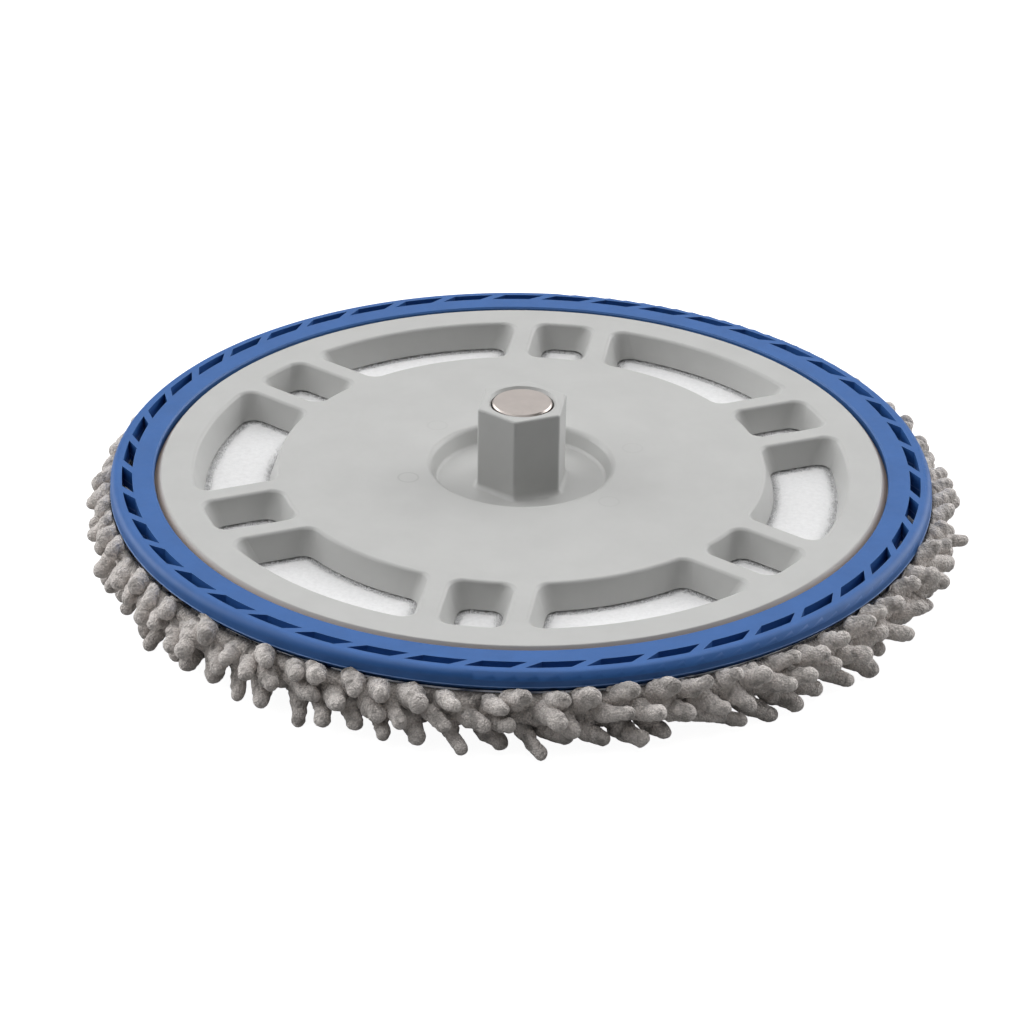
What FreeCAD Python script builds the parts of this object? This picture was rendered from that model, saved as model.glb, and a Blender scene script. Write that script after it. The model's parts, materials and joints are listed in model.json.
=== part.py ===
import FreeCAD, Part
import math
import os

# Rotary mop disc: a moulded carrier plate with a hexagonal drive post and a magnet,
# a soft bumper ring round its rim, and a round chenille pad held on by hook patches.
# Millimetres, +Z up along the spin axis. The pad's underside rests on z = 0.

Vector = FreeCAD.Vector

# Bumper ring
ring_outer_radius = 82.0
ring_inner_radius = 73.3
ring_height = 4.3
ring_lip_radius = 1.5
ring_parting_depth = 2.8
ring_bottom_inset = 1.2
ring_flash = 0.1
ring_inner_chamfer = 0.3

# Slots through the bumper ring, each a slanted parallelogram between two arcs
slot_count = 45
slot_outer_radius = 79.7
slot_inner_radius = 77.6
slot_span_deg = 6.1
slot_slant_deg = 2.3
slot_phase_deg = 3.05

# Carrier plate
plate_top_z = 16.0
plate_thickness = 5.2
plate_radius = 73.0
plate_top_radius = 71.9
plate_bevel_depth = 1.4
plate_bevel_round = 0.4
tongue_radius = 75.6
tongue_top_depth = 2.0
tongue_height = 1.2
fit_gap = 0.1

# Windows: six short ones on the spoke lines and six long ones between them
spoke_count = 6
first_spoke_deg = 30.0
window_inner_radius = 48.8
window_outer_radius = 65.4
short_window_half_width = 6.3
long_window_offset = 10.4
window_draft_inset = 1.9
window_corner_radius = 3.0
window_edge_round = 0.8

# Hub: a recess in the plate's middle with a hexagonal post
recess_depth = 3.7
recess_top_radius = 18.2
recess_floor_radius = 17.0
recess_rim_round = 1.2
recess_floor_round = 0.9
post_across_flats = 16.5
post_height = 13.7
post_edge_round = 0.8
post_top_round = 0.5
post_base_round = 1.1
post_wall = 2.0
post_cap = 1.8

# Magnet in its pocket in the post's top
magnet_radius = 6.0
magnet_height = 4.0
magnet_edge_chamfer = 0.3
magnet_below_rim = 0.1
pocket_radius = 6.3
pocket_chamfer = 0.6

# Hook fastener pieces in pockets under the plate
hook_pocket_depth = 2.2
hook_stand_out = 0.2
hook_gap = 0.3
hook_corner_radius = 2.0
strip_corner_radius = 1.0
rib_half_width = 1.4
inner_pocket_radii = (21.5, 46.3)
outer_pocket_radii = (67.3, 71.3)

# Pad, from its top face down
body_gap = 0.3
loop_thickness = 1.2
foam_thickness = 2.2
cloth_thickness = 0.6
facing_radius = 79.6
cloth_radius = 81.0
binding_radius = 81.8
binding_height = 1.9
binding_round = 0.75
pile_radius = 88.0
pile_ring_gap = 0.4
pile_bottom_round = 5.0
pile_top_round = 2.0
layer_gap = 0.05

# Heights that follow from the sizes above
plate_bottom_z = plate_top_z - plate_thickness
recess_floor_z = plate_top_z - recess_depth
post_top_z = plate_top_z + post_height
pocket_floor_z = post_top_z - magnet_below_rim - magnet_height
hook_bottom_z = plate_bottom_z - hook_stand_out
pad_top_z = hook_bottom_z - body_gap
foam_top_z = pad_top_z - loop_thickness
cloth_top_z = foam_top_z - foam_thickness
pile_core_z = cloth_top_z - cloth_thickness
tongue_top_z = plate_top_z - tongue_top_depth
tongue_bottom_z = tongue_top_z - tongue_height
cutter_margin = 1.0
same_place = 1e-3
full_turn_deg = 360.0
z_axis = Vector(0, 0, 1)


def polar(radius, angle_deg, z):
    """The point at this radius and angle round the spin axis."""
    angle = math.radians(angle_deg)
    return Vector(radius * math.cos(angle), radius * math.sin(angle), z)


def revolved(points):
    """The solid that a closed outline of (radius, z) points sweeps round the axis."""
    corners = [Vector(radius, 0, z) for radius, z in points]
    face = Part.Face(Part.makePolygon(corners + corners[:1]))
    return face.revolve(Vector(0, 0, 0), z_axis, full_turn_deg)


def disc(radius, z_low, z_high):
    return Part.makeCylinder(radius, z_high - z_low, Vector(0, 0, z_low))


def circles_at(solid, radius, z):
    """The solid's round edges with this radius at this height."""
    found = []
    for edge in solid.Edges:
        curve = edge.Curve
        if not isinstance(curve, Part.Circle):
            continue
        same_height = abs(curve.Center.z - z) < same_place
        if same_height and abs(curve.Radius - radius) < same_place:
            found.append(edge)
    return found


def side_angle(side, radius):
    """Where a line parallel to a spoke, at a signed offset from it, meets a circle."""
    spoke_deg, offset = side
    return spoke_deg + math.degrees(math.asin(offset / radius))


def sector_wire(start, end, inner_radius, outer_radius, z):
    """Outline between two sides, each (spoke angle, offset), and two arcs."""
    inner_start = side_angle(start, inner_radius)
    inner_end = side_angle(end, inner_radius)
    outer_start = side_angle(start, outer_radius)
    outer_end = side_angle(end, outer_radius)
    inner_middle = (inner_start + inner_end) / 2
    outer_middle = (outer_start + outer_end) / 2
    corners = [
        polar(inner_radius, inner_start, z),
        polar(outer_radius, outer_start, z),
        polar(outer_radius, outer_end, z),
        polar(inner_radius, inner_end, z),
    ]
    outer_arc = Part.Arc(corners[1], polar(outer_radius, outer_middle, z), corners[2])
    inner_arc = Part.Arc(corners[3], polar(inner_radius, inner_middle, z), corners[0])
    edges = [
        Part.makeLine(corners[0], corners[1]),
        outer_arc.toShape(),
        Part.makeLine(corners[2], corners[3]),
        inner_arc.toShape(),
    ]
    return Part.Wire(edges)


def is_level(edge, z):
    """True if the whole edge lies at this height."""
    box = edge.BoundBox
    return abs(box.ZMin - z) < same_place and abs(box.ZMax - z) < same_place


def upright_edges(block):
    """The corner edges of a block, which climb from its bottom face to its top face."""
    heights = [vertex.Z for vertex in block.Vertexes]
    low, high = min(heights), max(heights)
    return [edge for edge in block.Edges if not is_level(edge, low) and not is_level(edge, high)]


def sector(start, end, radii, z_low, z_high, corner_radius, low_inset=0.0):
    """A block between two spoke-parallel sides and two arcs, narrower below by low_inset."""
    inner_radius, outer_radius = radii
    top = sector_wire(start, end, inner_radius, outer_radius, z_high)
    low_start = (start[0], start[1] + low_inset)
    low_end = (end[0], end[1] - low_inset)
    bottom = sector_wire(
        low_start, low_end, inner_radius + low_inset, outer_radius - low_inset, z_low
    )
    block = Part.makeLoft([bottom, top], True, True)
    return block.makeFillet(corner_radius, upright_edges(block))


def spoke_angles():
    step = full_turn_deg / spoke_count
    return [first_spoke_deg + step * i for i in range(spoke_count)]


def between_spokes(spoke_deg, offset):
    """The two sides of the field from this spoke to the next one, offset clear of both."""
    next_spoke_deg = spoke_deg + full_turn_deg / spoke_count
    return (spoke_deg, offset), (next_spoke_deg, -offset)


def window_cutters():
    """Tapered blocks that cut the short and the long windows."""
    slope = window_draft_inset / plate_thickness
    extra = slope * cutter_margin
    radii = (window_inner_radius - extra, window_outer_radius + extra)
    inset = window_draft_inset + 2 * extra
    z_low = plate_bottom_z - cutter_margin
    z_high = plate_top_z + cutter_margin
    cutters = []
    for spoke_deg in spoke_angles():
        half_width = short_window_half_width + extra
        sides = ((spoke_deg, -half_width), (spoke_deg, half_width))
        cutters.append(sector(*sides, radii, z_low, z_high, window_corner_radius, inset))
        sides = between_spokes(spoke_deg, long_window_offset - extra)
        cutters.append(sector(*sides, radii, z_low, z_high, window_corner_radius, inset))
    return cutters


def hook_pockets(radii, gap, z_low, z_high, corner_radius):
    """Six blocks under the plate, between the ribs that follow the spoke lines."""
    inner_radius, outer_radius = radii
    fitted = (inner_radius + gap, outer_radius - gap)
    blocks = []
    for spoke_deg in spoke_angles():
        sides = between_spokes(spoke_deg, rib_half_width + gap)
        blocks.append(sector(*sides, fitted, z_low, z_high, corner_radius))
    return blocks


def hexagon(across_flats, z_low, z_high):
    """A hexagonal prism whose corners point along the spoke lines."""
    corner_radius = across_flats / math.sqrt(3)
    corners = [polar(corner_radius, angle, z_low) for angle in spoke_angles()]
    face = Part.Face(Part.makePolygon(corners + corners[:1]))
    return face.extrude(Vector(0, 0, z_high - z_low))


def plate_blank():
    """The plate's turned shape: bevelled top edge, rim tongue and central recess."""
    blank = revolved(
        [
            (0, plate_bottom_z),
            (plate_radius, plate_bottom_z),
            (plate_radius, tongue_bottom_z),
            (tongue_radius, tongue_bottom_z),
            (tongue_radius, tongue_top_z),
            (plate_radius, tongue_top_z),
            (plate_radius, plate_top_z - plate_bevel_depth),
            (plate_top_radius, plate_top_z),
            (recess_top_radius, plate_top_z),
            (recess_floor_radius, recess_floor_z),
            (0, recess_floor_z),
        ]
    )
    rim = circles_at(blank, recess_top_radius, plate_top_z)
    blank = blank.makeFillet(recess_rim_round, rim)
    floor = circles_at(blank, recess_floor_radius, recess_floor_z)
    blank = blank.makeFillet(recess_floor_round, floor)
    bevel = circles_at(blank, plate_top_radius, plate_top_z)
    return blank.makeFillet(plate_bevel_round, bevel)


def drive_post():
    """The solid hexagonal post with rounded corners and a rounded top edge."""
    post = hexagon(post_across_flats, plate_bottom_z, post_top_z)
    post = post.makeFillet(post_edge_round, upright_edges(post))
    top = [edge for edge in post.Edges if is_level(edge, post_top_z)]
    return post.makeFillet(post_top_round, top)


def post_foot_edges(plate):
    """The edges where the post meets the recess floor."""
    reach = post_across_flats / math.sqrt(3)
    found = []
    for edge in plate.Edges:
        furthest = max(math.hypot(vertex.X, vertex.Y) for vertex in edge.Vertexes)
        if is_level(edge, recess_floor_z) and furthest < reach:
            found.append(edge)
    return found


def window_top_edges(plate):
    """The windows' edges in the plate's top face."""
    field_inner = window_inner_radius - window_draft_inset
    field_outer = window_outer_radius + window_draft_inset
    found = []
    for edge in plate.Edges:
        radii = [math.hypot(vertex.X, vertex.Y) for vertex in edge.Vertexes]
        in_field = field_inner < min(radii) and max(radii) < field_outer
        if is_level(edge, plate_top_z) and in_field:
            found.append(edge)
    return found


def magnet_pocket():
    """The pocket in the post's top, with a chamfered mouth."""
    return revolved(
        [
            (0, pocket_floor_z),
            (pocket_radius, pocket_floor_z),
            (pocket_radius, post_top_z - pocket_chamfer),
            (pocket_radius + pocket_chamfer + cutter_margin, post_top_z + cutter_margin),
            (0, post_top_z + cutter_margin),
        ]
    )


def carrier_plate():
    plate = plate_blank().fuse(drive_post()).removeSplitter()
    plate = plate.makeFillet(post_base_round, post_foot_edges(plate))
    plate = plate.cut(window_cutters())
    plate = plate.makeFillet(window_edge_round, window_top_edges(plate))
    core_top_z = pocket_floor_z - post_cap
    core = hexagon(post_across_flats - 2 * post_wall, plate_bottom_z - cutter_margin, core_top_z)
    pocket_top_z = plate_bottom_z + hook_pocket_depth
    pocket_low_z = plate_bottom_z - cutter_margin
    pockets = hook_pockets(inner_pocket_radii, 0, pocket_low_z, pocket_top_z, hook_corner_radius)
    pockets += hook_pockets(outer_pocket_radii, 0, pocket_low_z, pocket_top_z, strip_corner_radius)
    return plate.cut([core, magnet_pocket()] + pockets)


def hub_magnet():
    magnet = disc(magnet_radius, pocket_floor_z, pocket_floor_z + magnet_height)
    rims = circles_at(magnet, magnet_radius, pocket_floor_z)
    rims += circles_at(magnet, magnet_radius, pocket_floor_z + magnet_height)
    return magnet.makeChamfer(magnet_edge_chamfer, rims)


def slot_cutter(middle_deg):
    """A slanted slot: its outer end is turned back against its inner end."""
    half_span = slot_span_deg / 2
    outer_deg = middle_deg - slot_slant_deg / 2
    inner_deg = middle_deg + slot_slant_deg / 2
    z_low = plate_top_z - ring_height - cutter_margin
    corners = [
        polar(slot_inner_radius, inner_deg - half_span, z_low),
        polar(slot_outer_radius, outer_deg - half_span, z_low),
        polar(slot_outer_radius, outer_deg + half_span, z_low),
        polar(slot_inner_radius, inner_deg + half_span, z_low),
    ]
    outer_arc = Part.Arc(corners[1], polar(slot_outer_radius, outer_deg, z_low), corners[2])
    inner_arc = Part.Arc(corners[3], polar(slot_inner_radius, inner_deg, z_low), corners[0])
    edges = [
        Part.makeLine(corners[0], corners[1]),
        outer_arc.toShape(),
        Part.makeLine(corners[2], corners[3]),
        inner_arc.toShape(),
    ]
    face = Part.Face(Part.Wire(edges))
    return face.extrude(Vector(0, 0, ring_height + 2 * cutter_margin))


def bumper_ring():
    """The soft ring: a groove for the plate's tongue, slots all round, and a line of
    flash where its mould parted."""
    bottom_z = plate_top_z - ring_height
    parting_z = plate_top_z - ring_parting_depth
    ring = revolved(
        [
            (ring_inner_radius, bottom_z),
            (ring_outer_radius - ring_bottom_inset, bottom_z),
            (ring_outer_radius, parting_z - ring_flash),
            (ring_outer_radius + ring_flash, parting_z),
            (ring_outer_radius, parting_z + ring_flash),
            (ring_outer_radius, plate_top_z),
            (ring_inner_radius + ring_inner_chamfer, plate_top_z),
            (ring_inner_radius, plate_top_z - ring_inner_chamfer),
            (ring_inner_radius, tongue_top_z + fit_gap),
            (tongue_radius + fit_gap, tongue_top_z + fit_gap),
            (tongue_radius + fit_gap, tongue_bottom_z - fit_gap),
            (ring_inner_radius, tongue_bottom_z - fit_gap),
        ]
    )
    lip = circles_at(ring, ring_outer_radius, plate_top_z)
    ring = ring.makeFillet(ring_lip_radius, lip)
    step = full_turn_deg / slot_count
    return ring.cut([slot_cutter(slot_phase_deg + step * i) for i in range(slot_count)])


def loop_facing():
    return disc(facing_radius, foam_top_z + layer_gap, pad_top_z)


def foam_core():
    return disc(facing_radius, cloth_top_z + layer_gap, foam_top_z)


def base_cloth():
    """The cloth that carries the pile: flat underneath and turned up round the foam."""
    wall_radius = cloth_radius - cloth_thickness
    wall_top_z = pad_top_z - binding_height - layer_gap
    return revolved(
        [
            (0, pile_core_z + layer_gap),
            (cloth_radius, pile_core_z + layer_gap),
            (cloth_radius, wall_top_z),
            (wall_radius, wall_top_z),
            (wall_radius, cloth_top_z),
            (0, cloth_top_z),
        ]
    )


def edge_binding():
    """The sewn edge that joins the facing to the base cloth."""
    inner_radius = facing_radius + layer_gap
    binding = revolved(
        [
            (inner_radius, pad_top_z - binding_height),
            (binding_radius, pad_top_z - binding_height),
            (binding_radius, pad_top_z),
            (inner_radius, pad_top_z),
        ]
    )
    outer = circles_at(binding, binding_radius, pad_top_z)
    outer += circles_at(binding, binding_radius, pad_top_z - binding_height)
    return binding.makeFillet(binding_round, outer)


def chenille_pile():
    """The outer shape of the pile: under the pad, and up round its edge."""
    inner_radius = binding_radius + layer_gap
    rim_z = plate_top_z - ring_height - pile_ring_gap
    pile = revolved(
        [
            (0, 0),
            (pile_radius, 0),
            (pile_radius, rim_z),
            (inner_radius, rim_z),
            (inner_radius, pile_core_z),
            (0, pile_core_z),
        ]
    )
    bottom = circles_at(pile, pile_radius, 0)
    pile = pile.makeFillet(pile_bottom_round, bottom)
    top = circles_at(pile, pile_radius, rim_z)
    return pile.makeFillet(pile_top_round, top)


def parts():
    """Every piece of the mop disc by its node's name."""
    made = {
        "carrier_plate": carrier_plate(),
        "hub_magnet": hub_magnet(),
        "bumper_ring": bumper_ring(),
        "pad_loop_facing": loop_facing(),
        "pad_foam_core": foam_core(),
        "pad_base_cloth": base_cloth(),
        "pad_edge_binding": edge_binding(),
        "chenille_pile": chenille_pile(),
    }
    hook_top_z = plate_bottom_z + hook_pocket_depth
    patches = hook_pockets(
        inner_pocket_radii, hook_gap, hook_bottom_z, hook_top_z, hook_corner_radius
    )
    strips = hook_pockets(
        outer_pocket_radii, hook_gap, hook_bottom_z, hook_top_z, strip_corner_radius
    )
    for number, (patch, strip) in enumerate(zip(patches, strips), 1):
        made[f"hook_patch_{number}"] = patch
        made[f"hook_strip_{number}"] = strip
    return made


os.makedirs("parts", exist_ok=True)
for node, shape in parts().items():
    shape.exportStep(f"parts/{node}.step")
    box = shape.BoundBox
    print(f"{node}: {len(shape.Solids)} solid, valid {shape.isValid()}, "
          f"{shape.Volume:.0f} mm3, z {box.ZMin:.2f} to {box.ZMax:.2f}")
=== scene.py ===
import json
import math

import bpy
import numpy as np
from mathutils import Matrix, Vector
from mathutils.bvhtree import BVHTree
from mathutils.kdtree import KDTree


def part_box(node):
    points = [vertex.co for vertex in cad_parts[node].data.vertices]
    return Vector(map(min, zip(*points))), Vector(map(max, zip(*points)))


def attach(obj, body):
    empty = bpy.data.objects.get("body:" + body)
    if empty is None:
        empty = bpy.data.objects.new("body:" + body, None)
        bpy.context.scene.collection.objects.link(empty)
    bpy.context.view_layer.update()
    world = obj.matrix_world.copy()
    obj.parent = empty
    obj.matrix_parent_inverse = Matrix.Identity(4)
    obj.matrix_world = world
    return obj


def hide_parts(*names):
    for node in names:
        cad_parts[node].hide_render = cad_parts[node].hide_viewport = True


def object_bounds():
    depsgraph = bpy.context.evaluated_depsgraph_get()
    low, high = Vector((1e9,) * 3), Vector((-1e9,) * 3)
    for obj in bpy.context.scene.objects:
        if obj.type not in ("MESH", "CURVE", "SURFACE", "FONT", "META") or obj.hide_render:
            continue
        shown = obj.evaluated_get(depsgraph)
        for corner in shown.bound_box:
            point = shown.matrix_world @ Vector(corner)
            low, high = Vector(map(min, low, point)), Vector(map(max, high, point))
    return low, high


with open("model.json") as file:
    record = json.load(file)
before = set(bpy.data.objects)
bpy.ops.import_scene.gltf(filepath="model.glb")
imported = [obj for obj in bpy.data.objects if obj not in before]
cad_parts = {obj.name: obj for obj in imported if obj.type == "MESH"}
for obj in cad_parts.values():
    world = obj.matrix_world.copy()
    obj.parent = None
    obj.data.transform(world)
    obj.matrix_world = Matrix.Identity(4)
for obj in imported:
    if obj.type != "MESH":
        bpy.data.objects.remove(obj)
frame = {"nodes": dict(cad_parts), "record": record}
cad_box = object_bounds()

# The looks of a rotary mop disc, in metres: materials for the plate, ring and magnet, and built
# pieces for the chenille fingers, the pad's layers, its sewn edge and the hook tape.

MM = 0.001
FULL_TURN = 2 * math.pi
SEED = 20
random = np.random.default_rng(SEED)

# Heights and radii that the frame gives
disc_nodes = frame["record"]["behaviour"]["bodies"]["disc"]
ring_low, ring_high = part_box("bumper_ring")
facing_low, facing_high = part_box("pad_loop_facing")
cloth_low, cloth_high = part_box("pad_base_cloth")
foam_low, foam_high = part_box("pad_foam_core")
binding_low, binding_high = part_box("pad_edge_binding")
plate_top = ring_high.z
ring_radius = ring_high.x
pad_top = facing_high.z
facing_radius = facing_high.x
binding_radius = binding_high.x

# The pad's rounded edge, which carries the outer rows of fingers
SHOULDER_RADIUS = 2.6 * MM
SHOULDER_START_DEG, SHOULDER_END_DEG = -90, 62
CLOTH_THICKNESS = 0.6 * MM
shoulder_centre_radius = cloth_high.x - 2.4 * MM
shoulder_centre_z = cloth_low.z + 2.1 * MM

# The chenille bed, which covers the pad's edge with puffs: an oval section
BED_WIDTH = 4.0 * MM
BED_DROP = 4.3 * MM
BED_TOP = ring_low.z + 0.4 * MM
BED_INSIDE = binding_radius + 0.12 * MM
PUFF_PITCH = 2.7 * MM
PUFF_RADIUS = 1.6 * MM
PUFF_HEIGHT = 1.15 * MM

# Chenille fingers
FINGER_RADIUS = 1.52 * MM
FINGER_LENGTH = 7.2 * MM
FINGER_PITCH = 6.2 * MM
UNDERSIDE_PITCH = 5.4 * MM
UNDERSIDE_ROW_LIMIT = 72.0 * MM
FLOOR_CLEARANCE = 0.05 * MM
RING_CLEARANCE = 0.15 * MM
# For each row round the edge: its seat on the oval, its tilt above level, its lean, and its
# share of the full length, with angles in degrees
EDGE_ROWS = ((24, 10, 40, 0.84), (-10, -7, 38, 0.98), (-50, -25, 38, 1.06))
# The pile is combed out further and higher on one side, and hangs lower on the other
COMBED_SIDE = math.radians(-50)
COMBED_EXTRA = 0.16
COMBED_LIFT = math.radians(17)
COMBED_DROOP = math.radians(18)
UNDERSIDE_LEAN = 34
TUFT_PITCH = 1.9 * MM
TUFT_DEPTH = 0.3 * MM
FINGER_FLARE = 0.78
# Sides, steps along the shaft and steps over the tip of each finger
EDGE_DETAIL = (14, 20, 4)
UNDERSIDE_DETAIL = (8, 8, 3)

# How finely the pad's round pieces are divided
BED_COLUMNS = 720
FACING_COLUMNS = 600
BINDING_COLUMNS = 480
LAYER_COLUMNS = 240

# The white facing: its swell and loose fibres inside the windows, and the shade by their walls
FACING_SINK = 0.05 * MM
PILE_RISE = 0.55 * MM
PILE_SLOPE = 3.0 * MM
FUZZ_TRIES = 360000
FUZZ_REACH = 1.6 * MM
SHADE_REACH = 1.7 * MM
FUZZ_HALF_WIDTH = 0.04 * MM

# The sewn edge: a rolled cloth edge and the thread wound round it
binding_middle_radius = binding_radius - 1.05 * MM
binding_middle_z = (binding_low.z + binding_high.z) / 2 - 0.05 * MM
STITCHES = 250
STEPS_PER_STITCH = 8
THREAD_RADIUS = 0.2 * MM
THREAD_SIDES = 5

# Hook tape
HOOK_HEIGHT = 1.25 * MM
HOOK_PITCH = 1.7 * MM
HOOK_SIDES = 4

# Materials: the microfibre's nap, the plate's rim line of painted shade and its ejector pins' faint
# circles with how strongly each one shows, the height of the ring's moulding seam with its painted
# highlight, and a softer edge to its shadows
NAP_CELL = 0.42 * MM
RIM_INSET = 2.6 * MM
EJECTOR_CIRCLE = 23.5 * MM
EJECTOR_RADIUS = 2 * MM
EJECTOR_MARKS = ((205.4, 0.3), (145.4, 0.12), (25.4, 0.12), (325.4, 0.12))
SEAM_HEIGHT = ring_low.z + 1.5 * MM
SHADOW_OFFSETS = (0.4, 0.3)

# The camera, which looks down at the plate's middle
CAMERA_AZIMUTH = math.radians(8.02)
CAMERA_ELEVATION = math.radians(27.64)
CAMERA_DISTANCE = 0.6941
CAMERA_LENS = 121.75
CAMERA_PAN = math.radians(0.144)
CAMERA_TILT = math.radians(0.820)
CAMERA_ROLL = math.radians(-0.83)

# Each light's name, strength, elevation, azimuth and spread, with angles in degrees. Azimuth 0 is
# behind the default front camera.
LIGHTS = (
    ("top_light", 0.75, 85, 8, 60),
    ("back_light", 1.0, 50, 188, 60),
    ("left_light", 0.95, 45, 278, 60),
    ("right_light", 0.5, 32, 140, 40),
    ("low_left_light", 1.8, 12, 250, 50),
    ("low_right_light", 2.1, 12, 126, 60),
)
SURROUND_LIGHT = 0.02
FLOOR_HALF_SIZE = 6.0


# Meshes


def add_object(name, data):
    """A new object in the scene with this data."""
    made = bpy.data.objects.new(name, data)
    bpy.context.scene.collection.objects.link(made)
    return made


def add_mesh(name, points, faces):
    """A new object from an array of points and arrays of faces of equal length each."""
    mesh = bpy.data.meshes.new(name)
    points = np.asarray(points, np.float32).reshape(-1, 3)
    counts = np.concatenate([np.full(len(f), f.shape[1]) for f in faces])
    corners = np.concatenate([f.ravel() for f in faces]).astype(np.int32)
    starts = np.concatenate([[0], np.cumsum(counts)[:-1]]).astype(np.int32)
    mesh.vertices.add(len(points))
    mesh.vertices.foreach_set("co", points.ravel())
    mesh.loops.add(len(corners))
    mesh.loops.foreach_set("vertex_index", corners)
    mesh.polygons.add(len(counts))
    mesh.polygons.foreach_set("loop_start", starts)
    mesh.update(calc_edges=True)
    mesh.validate()
    mesh.polygons.foreach_set("use_smooth", np.full(len(mesh.polygons), True))
    return add_object(name, mesh)


def add_values(made, name, values):
    """Stores one number per point, for its material to read."""
    attribute = made.data.attributes.new(name, "FLOAT", "POINT")
    attribute.data.foreach_set("value", np.asarray(values, np.float32).ravel())


def grid_faces(rows, columns, closed_rows=False):
    """Quads between the points of a grid that closes along each row."""
    row_steps = rows if closed_rows else rows - 1
    i, j = np.meshgrid(np.arange(row_steps), np.arange(columns), indexing="ij")
    i, j = i.ravel(), j.ravel()
    next_i, next_j = (i + 1) % rows, (j + 1) % columns
    return np.stack(
        [i * columns + j, i * columns + next_j, next_i * columns + next_j, next_i * columns + j], 1
    )


def unit(vectors):
    """The same directions, each of length 1."""
    return vectors / np.linalg.norm(vectors, axis=-1, keepdims=True)


def even_angles(count):
    """This many angles in even steps round a full turn."""
    return np.linspace(0, FULL_TURN, count, endpoint=False)


def turned_points(radius, z, angles):
    """The points of a grid: (radius, z) pairs down it, turned to these angles along it."""
    return np.stack([radius * np.cos(angles), radius * np.sin(angles), z + 0 * angles], -1)


def turned_shape(name, outline, columns):
    """A closed outline of (radius, z) points turned round the spin axis."""
    angles = even_angles(columns)
    points = turned_points(outline[:, :1], outline[:, 1:], angles)
    return add_mesh(name, points, [grid_faces(len(outline), columns, True)])


def rings_round(along, side, sides):
    """Circles of radius 1 round these directions, each starting at its side."""
    other = np.cross(along, side)
    angles = even_angles(sides)[:, None]
    return side[..., None, :] * np.cos(angles) + other[..., None, :] * np.sin(angles)


def tube_walls(paths, radii, sides):
    """The wall points of tubes along paths (tube, step, xyz), turned from the axis that each
    tube follows least."""
    along = unit(np.gradient(paths, axis=1))
    least_followed = np.abs(along).max(1).argmin(1)
    reference = np.eye(3)[least_followed][:, None, :]
    side = unit(np.cross(along, reference))
    return paths[:, :, None] + rings_round(along, side, sides) * radii[..., None]


def tube_faces(count, steps, sides):
    """Quads of the walls and triangles of both end fans, for points laid out as wall
    points, then the two end points, tube by tube."""
    per_tube = steps * sides + 2
    offsets = (np.arange(count) * per_tube)[:, None, None]
    walls = (grid_faces(steps, sides)[None] + offsets).reshape(-1, 4)
    j = np.arange(sides)
    next_j = (j + 1) % sides
    low = np.stack([np.full(sides, steps * sides), next_j, j], 1)
    last = (steps - 1) * sides
    high = np.stack([np.full(sides, steps * sides + 1), last + j, last + next_j], 1)
    ends = (np.concatenate([low, high])[None] + offsets).reshape(-1, 3)
    return walls, ends


def tube_mesh(name, paths, radii, sides):
    """One object of many closed tubes."""
    count, steps, _ = paths.shape
    walls = tube_walls(paths, np.broadcast_to(radii[..., None], (count, steps, sides)), sides)
    ends = paths[:, [0, -1]]
    points = np.concatenate([walls.reshape(count, -1, 3), ends], 1)
    return add_mesh(name, points, tube_faces(count, steps, sides))


# Chenille


def nearest(points):
    """A tree that finds which of these points lie nearest to a place."""
    tree = KDTree(len(points))
    for i, point in enumerate(points):
        tree.insert(point, i)
    tree.balance()
    return tree


def solid_tree(node):
    """A tree that tells where lines meet a CAD node."""
    mesh = frame["nodes"][node].data
    corners = [v.co for v in mesh.vertices]
    return BVHTree.FromPolygons(corners, [list(p.vertices) for p in mesh.polygons])


def tuft_cells():
    """Scattered centres through the pile; each one is a tuft of fibres."""
    reach = cad_box[1][0] + 3 * MM
    ring_count = round((reach - 70 * MM) / TUFT_PITCH)
    spots = []
    for radius in np.linspace(70 * MM, reach, ring_count):
        count = round(FULL_TURN * radius / TUFT_PITCH)
        angles = np.arange(count) * FULL_TURN / count
        for height in np.arange(-1.0 * MM, 14.0 * MM, TUFT_PITCH):
            turn = angles + random.uniform(0, FULL_TURN)
            spots.append(turned_points(radius, height, turn))
    spots = np.concatenate(spots)
    return nearest(spots + random.normal(0, 0.3 * TUFT_PITCH, spots.shape))


def tuft_height(tree, points):
    """From 0 in the creases between tufts to 1 on top of one."""
    flat = points.reshape(-1, 3)
    distance = np.array([tree.find(point)[2] for point in flat])
    share = np.clip(distance / (0.78 * TUFT_PITCH), 0, 1)
    return np.sqrt(1 - share * share).reshape(points.shape[:-1])


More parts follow.
